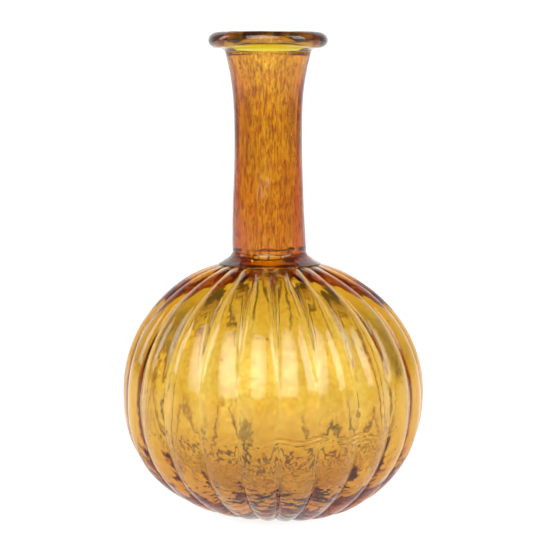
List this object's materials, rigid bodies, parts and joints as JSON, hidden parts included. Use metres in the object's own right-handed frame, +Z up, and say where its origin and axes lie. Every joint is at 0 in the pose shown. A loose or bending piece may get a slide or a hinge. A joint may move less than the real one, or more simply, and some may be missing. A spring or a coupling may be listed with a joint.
{
  "type": "glass bud vase",
  "caption": "Hand-blown glass bud vase: a low round ribbed bulb, a tall thick-walled neck with a flared rolled lip, and a small flat base.",
  "frame": {"origin": "centre of the resting plane, under the centre of the bulb", "axes": "+Z up, along the vase's height; -Y is the front; +X to the right seen from the front, and the neck is set 1.9 mm towards -X"},
  "size_m": [0.112, 0.112, 0.18],
  "materials": {
    "bulb_glass": "clear amber, thin, optic ribbed, lightly seeded",
    "neck_glass": "clear deep amber, thick, with drawn seeds and cords",
    "collar_glass": "clear deep amber, fire polished",
    "lip_glass": "clear amber, fire polished",
    "base_glass": "clear amber, thick, ground pontil hollow under"
  },
  "bodies": {
    "root": {"ribbed_bulb": "bulb_glass", "neck_tube": "neck_glass", "neck_collar": "collar_glass", "rolled_lip": "lip_glass", "base_pad": "base_glass"}
  },
  "joints": []
}
